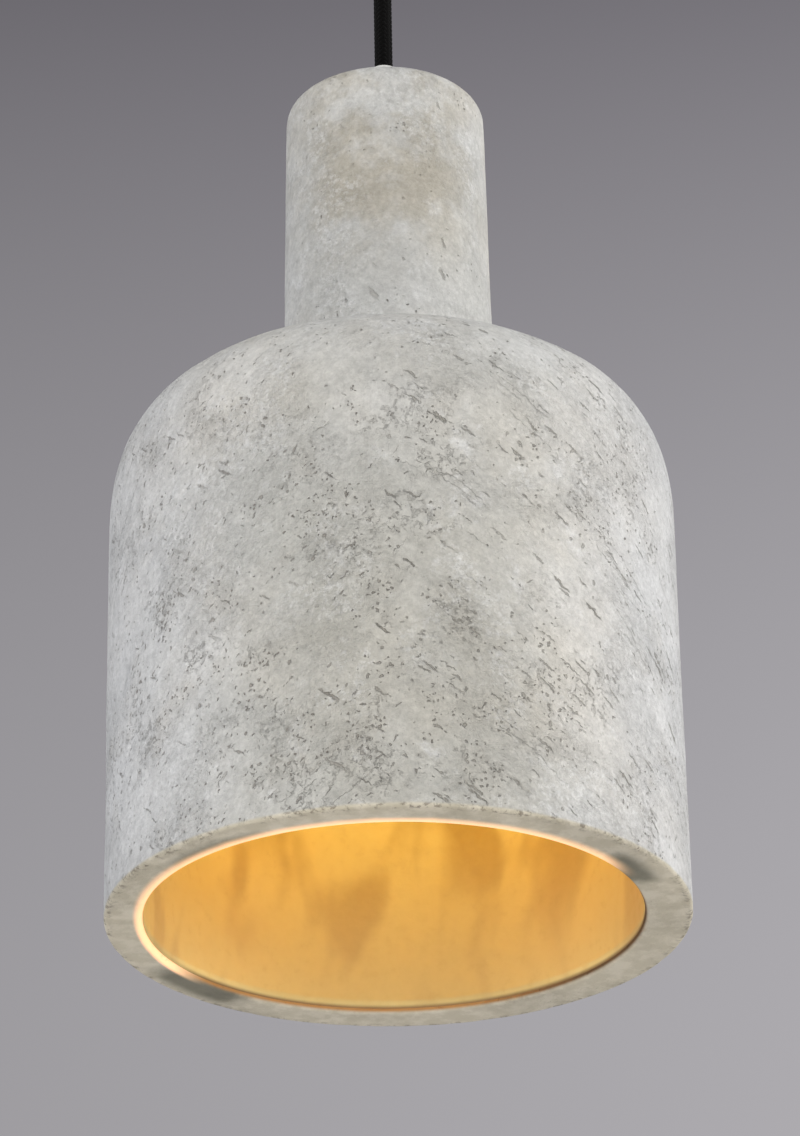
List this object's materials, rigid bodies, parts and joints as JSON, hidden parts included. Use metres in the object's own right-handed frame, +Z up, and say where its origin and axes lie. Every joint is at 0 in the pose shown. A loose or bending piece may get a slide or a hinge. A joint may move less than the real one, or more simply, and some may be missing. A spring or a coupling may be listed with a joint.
{
  "type": "pendant ceiling light",
  "caption": "Pendant ceiling light: bottle-shaped cast concrete shade with a gold leaf lining, lampholder and bulb, hung by a black textile cord from a round ceiling rose.",
  "frame": {"origin": "centre of the ceiling rose, on the ceiling", "axes": "+Z up into the ceiling; the lamp hangs along -Z; the rose's side screws lie along X"},
  "size_m": [0.18, 0.18, 0.442],
  "materials": {
    "zinc_steel": "bright zinc plated steel",
    "rose_black": "matt black moulded plastic",
    "white_plastic": "matt white moulding",
    "bright_brass": "plain brass",
    "black_nylon": "satin black nylon",
    "textile_cord": "black braided textile sleeve",
    "brown_insulation": "brown wire insulation",
    "blue_insulation": "blue wire insulation",
    "pale_nylon": "natural nylon",
    "cast_concrete": "raw cast concrete with pits",
    "gold_leaf": "gold leaf on an uneven wall",
    "black_rubber": "black rubber",
    "black_bakelite": "black phenolic moulding",
    "white_porcelain": "glazed porcelain",
    "lamp_solder": "dull solder",
    "black_glass": "black glass insulator",
    "nickel_cap": "bright cap metal",
    "frosted_glass": "frosted glass, lit from inside",
    "clear_glass": "clear glass",
    "lead_wire": "bright nickel wire",
    "tungsten": "tungsten wire"
  },
  "bodies": {
    "ceiling_rose": {"ceiling_bracket": "zinc_steel", "rose_cup": "rose_black", "rose_side_screws": "zinc_steel", "terminal_block": "white_plastic", "terminal_tubes": "bright_brass", "terminal_screws": "zinc_steel", "terminal_fixing_screw": "zinc_steel", "rose_cord_grip": "black_nylon", "rose_grip_screw": "zinc_steel", "rose_locknut": "bright_brass", "rose_cord_tail": "textile_cord", "rose_live_wire": "brown_insulation", "rose_neutral_wire": "blue_insulation"},
    "cord_bend": {"cord_knuckle": "textile_cord"},
    "cord_end": {"cord_upper": "textile_cord"},
    "lamp": {"suspension_cord": "textile_cord", "lamp_cord_grip": "pale_nylon", "lamp_grip_screw": "zinc_steel", "top_locknut": "zinc_steel", "top_washer": "zinc_steel", "concrete_shade": "cast_concrete", "gold_lining": "gold_leaf", "rubber_washer": "black_rubber", "support_washer": "zinc_steel", "bottom_locknut": "zinc_steel", "threaded_tube": "zinc_steel", "cord_inner_end": "textile_cord", "holder_cap": "black_bakelite", "holder_lock_screw": "zinc_steel", "holder_skirt": "black_bakelite", "holder_insert": "white_porcelain", "holder_screw_shell": "bright_brass", "centre_contact": "bright_brass", "contact_rivets": "bright_brass", "holder_terminals": "bright_brass", "holder_terminal_screws": "zinc_steel", "holder_live_wire": "brown_insulation", "holder_neutral_wire": "blue_insulation"},
    "bulb_seat": {"bulb_tip_contact": "lamp_solder", "bulb_insulator": "black_glass"},
    "bulb": {"bulb_screw_cap": "nickel_cap", "bulb_glass": "frosted_glass", "bulb_stem": "clear_glass", "bulb_lead_wires": "lead_wire", "bulb_filament": "tungsten"}
  },
  "joints": [
    {"name": "swing_x", "type": "hinge", "parent": "ceiling_rose", "child": "cord_bend", "pos_m": [0, 0, -0.039], "axis": [1, 0, 0], "range_deg": [-15, 15]},
    {"name": "swing_y", "type": "hinge", "parent": "cord_bend", "child": "cord_end", "pos_m": [0, 0, -0.039], "axis": [0, 1, 0], "range_deg": [-15, 15]},
    {"name": "cord_twist", "type": "hinge", "parent": "cord_end", "child": "lamp", "pos_m": [0, 0, -0.0444], "axis": [0, 0, 1], "range_deg": [-180, 180], "stiffness_Nm_per_rad": 0.005},
    {"name": "bulb_travel", "type": "slide", "parent": "lamp", "child": "bulb_seat", "axis": [0, 0, -1], "range_m": [0, 0.02]},
    {"name": "bulb_turn", "type": "hinge", "parent": "bulb_seat", "child": "bulb", "pos_m": [0, 0, -0.25], "axis": [0, 0, -1], "range_deg": [0, 1984]}
  ],
  "couplings": [
    {"joint": "bulb_turn", "follows": "bulb_travel", "rad_per_m": 1730.9}
  ]
}
